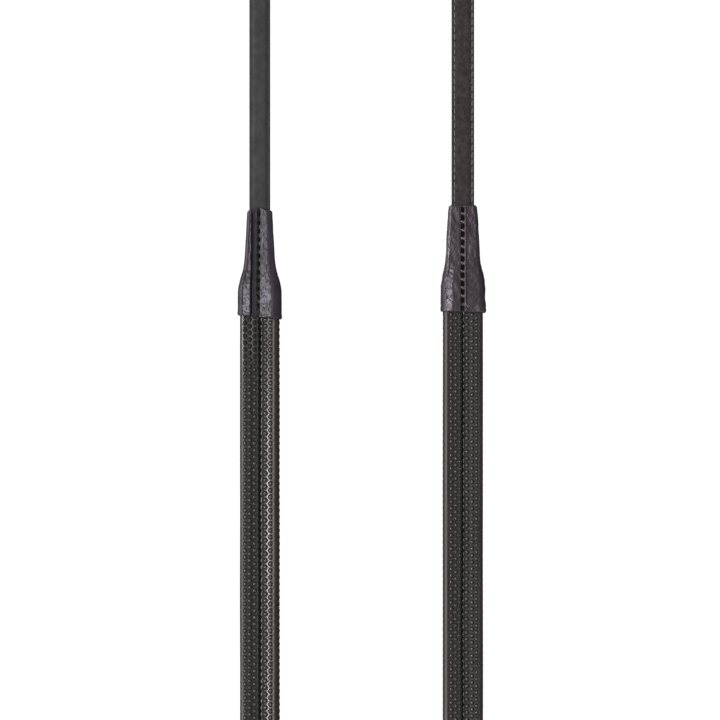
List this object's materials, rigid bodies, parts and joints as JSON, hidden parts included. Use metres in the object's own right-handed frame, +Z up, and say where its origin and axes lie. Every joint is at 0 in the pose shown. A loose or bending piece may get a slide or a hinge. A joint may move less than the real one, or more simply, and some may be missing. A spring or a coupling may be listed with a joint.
{
  "type": "leather reins",
  "caption": "Pair of riding reins hanging over a rail: narrow leather hand straps buckled together, tapered leather sleeves, pimpled rubber grips and folded bit ends with hook studs.",
  "frame": {"origin": "on the underside of the right hand strap where it rests on a rail, midway between the two reins", "axes": "+Z up, the reins hang along -Z; +X from the left rein to the right one; -Y is the seam side of the grips"},
  "size_m": [0.1443, 0.0212, 1.1983],
  "materials": {
    "plain_strap": "smooth black bridle leather, lightly waxed",
    "lined_strap": "matt suede-like black-brown leather",
    "sleeve_leather": "thin soft grained leather, semi-gloss",
    "grip_rubber": "pimpled rubber, satin",
    "keeper_leather": "smooth black leather",
    "buckle_metal": "polished stainless steel",
    "dark_thread": "waxed black linen thread",
    "light_thread": "grey-beige thread"
  },
  "bodies": {
    "hand_loop": {"left_hand_strap": "plain_strap", "right_hand_strap": "lined_strap", "right_strap_stitching": "light_thread", "centre_buckle_frame": "buckle_metal", "centre_fixed_keeper": "keeper_leather", "chape_stitching": "dark_thread"},
    "buckle_tongue": {"centre_buckle_tongue": "buckle_metal"},
    "centre_slider": {"centre_running_keeper": "keeper_leather"},
    "left_grip": {"left_grip_core": "plain_strap", "left_rubber_grip": "grip_rubber", "left_grip_seam_thread": "dark_thread", "left_hand_sleeve": "sleeve_leather", "left_hand_sleeve_stitching": "dark_thread", "left_bit_sleeve": "sleeve_leather", "left_bit_sleeve_stitching": "dark_thread"},
    "left_bit_end": {"left_bit_strap": "plain_strap", "left_hook_stud": "buckle_metal", "left_stud_washer": "buckle_metal", "left_bit_fixed_keeper": "keeper_leather"},
    "left_bit_slider": {"left_bit_running_keeper": "keeper_leather"},
    "right_grip": {"right_grip_core": "lined_strap", "right_rubber_grip": "grip_rubber", "right_grip_seam_thread": "dark_thread", "right_hand_sleeve": "sleeve_leather", "right_hand_sleeve_stitching": "dark_thread", "right_bit_sleeve": "sleeve_leather", "right_bit_sleeve_stitching": "dark_thread"},
    "right_bit_end": {"right_bit_strap": "lined_strap", "right_hook_stud": "buckle_metal", "right_stud_washer": "buckle_metal", "right_bit_fixed_keeper": "keeper_leather"},
    "right_bit_slider": {"right_bit_running_keeper": "keeper_leather"}
  },
  "joints": [
    {"name": "tongue_hinge", "type": "hinge", "parent": "hand_loop", "child": "buckle_tongue", "pos_m": [-0.022, 0, 0.0047], "axis": [0, -1, 0], "range_deg": [0, 20]},
    {"name": "centre_keeper_slide", "type": "slide", "parent": "hand_loop", "child": "centre_slider", "axis": [1, 0, 0], "range_m": [0, 0.0055]},
    {"name": "left_hand_bend", "type": "hinge", "parent": "hand_loop", "child": "left_grip", "pos_m": [-0.0592, 0, -0.2625], "axis": [1, 0, 0], "range_deg": [-60, 60]},
    {"name": "left_bit_bend", "type": "hinge", "parent": "left_grip", "child": "left_bit_end", "pos_m": [-0.0592, 0, -1.0065], "axis": [1, 0, 0], "range_deg": [-60, 60]},
    {"name": "left_bit_keeper_slide", "type": "slide", "parent": "left_bit_end", "child": "left_bit_slider", "axis": [0, 0, 1], "range_m": [0, 0.05]},
    {"name": "right_hand_bend", "type": "hinge", "parent": "hand_loop", "child": "right_grip", "pos_m": [0.0592, 0, -0.2595], "axis": [1, 0, 0], "range_deg": [-60, 60]},
    {"name": "right_bit_bend", "type": "hinge", "parent": "right_grip", "child": "right_bit_end", "pos_m": [0.0592, 0, -1.0035], "axis": [1, 0, 0], "range_deg": [-60, 60]},
    {"name": "right_bit_keeper_slide", "type": "slide", "parent": "right_bit_end", "child": "right_bit_slider", "axis": [0, 0, 1], "range_m": [0, 0.05]}
  ]
}
